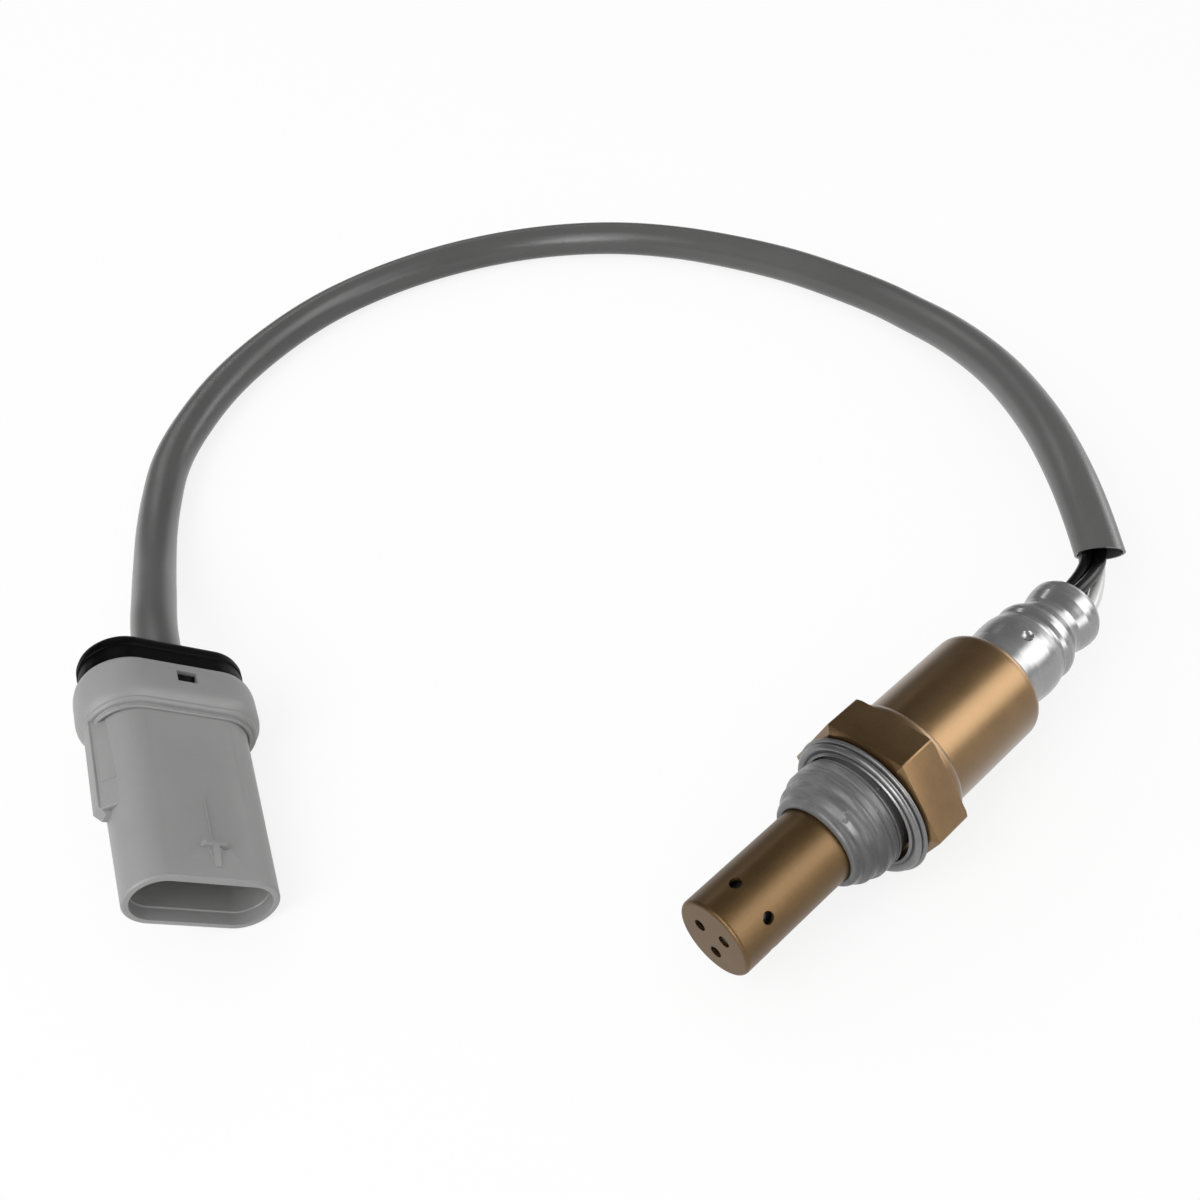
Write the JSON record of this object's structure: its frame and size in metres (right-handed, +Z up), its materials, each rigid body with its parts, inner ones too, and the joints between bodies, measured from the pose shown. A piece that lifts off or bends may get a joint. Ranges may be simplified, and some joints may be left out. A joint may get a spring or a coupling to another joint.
{
  "type": "oxygen sensor",
  "caption": "Threaded exhaust oxygen sensor with a perforated probe, hexagon body, crimped tail, sleeved lead laid in an arc, and a flat keyed plug.",
  "frame": {"origin": "on the floor under the middle of the metal body, which lies level on the rim of its gasket", "axes": "+X along the metal body from its probe tip to its crimped tail, +Z up, +Y towards the arc of the lead"},
  "size_m": [0.2128, 0.2198, 0.0248],
  "materials": {
    "toned_steel": "satin bronze tone",
    "inner_steel": "satin",
    "gasket_steel": "satin",
    "bright_steel": "satin, drawn",
    "white_ceramic": "fired ceramic",
    "pressed_powder": "pressed powder",
    "contact_metal": "tinned",
    "black_rubber": "matte",
    "black_wire": "satin insulation",
    "grey_wire": "satin insulation",
    "white_wire": "satin insulation",
    "grey_sleeve": "smooth soft sleeve",
    "grey_plastic": "fine moulded",
    "black_plastic": "moulded"
  },
  "bodies": {
    "root": {"outer_tube": "toned_steel", "inner_tube": "inner_steel", "housing": "toned_steel", "gasket": "gasket_steel", "sensing_cup": "white_ceramic", "heater_rod": "white_ceramic", "powder_ring": "pressed_powder", "ceramic_bush": "white_ceramic", "lock_ring": "inner_steel", "rear_shell": "toned_steel", "tail_sleeve": "bright_steel", "contact_holder": "white_ceramic", "contact_1": "contact_metal", "contact_2": "contact_metal", "contact_3": "contact_metal", "contact_4": "contact_metal", "grommet": "black_rubber", "wire_black_upper": "black_wire", "wire_black_lower": "black_wire", "wire_grey": "grey_wire", "wire_white": "white_wire", "sleeve": "grey_sleeve", "plug_housing": "grey_plastic", "plug_cap": "black_plastic", "plug_seal": "black_rubber", "terminal_1": "contact_metal", "terminal_2": "contact_metal", "terminal_3": "contact_metal", "terminal_4": "contact_metal", "plug_wires": "black_wire"}
  },
  "joints": []
}
